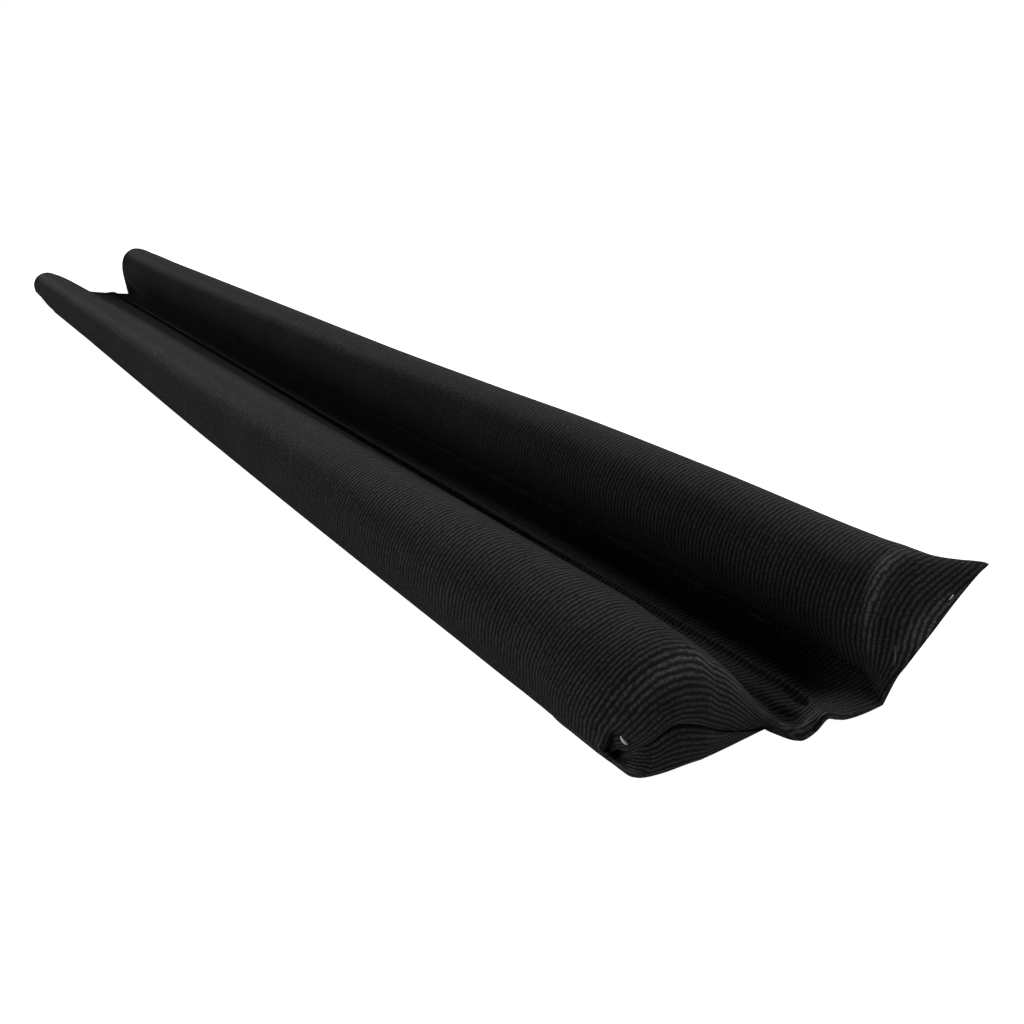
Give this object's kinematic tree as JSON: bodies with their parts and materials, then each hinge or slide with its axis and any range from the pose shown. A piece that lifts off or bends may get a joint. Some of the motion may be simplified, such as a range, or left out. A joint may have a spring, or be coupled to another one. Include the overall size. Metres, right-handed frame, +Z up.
{
  "type": "draught excluder",
  "caption": "Double-sided under-door draught excluder: two long filled rolls of black ribbed cloth joined by a flat web that the door stands over.",
  "frame": {"origin": "centre of the bounding box at the floor", "axes": "+X along the rolls, towards the end that is nearer in the picture; +Y from the front roll to the rear roll; +Z up"},
  "size_m": [0.9256, 0.1366, 0.0399],
  "materials": {
    "black_rib_cloth": "matt, fine crosswise ribs"
  },
  "bodies": {
    "root": {"sleeve": "black_rib_cloth"}
  },
  "joints": []
}
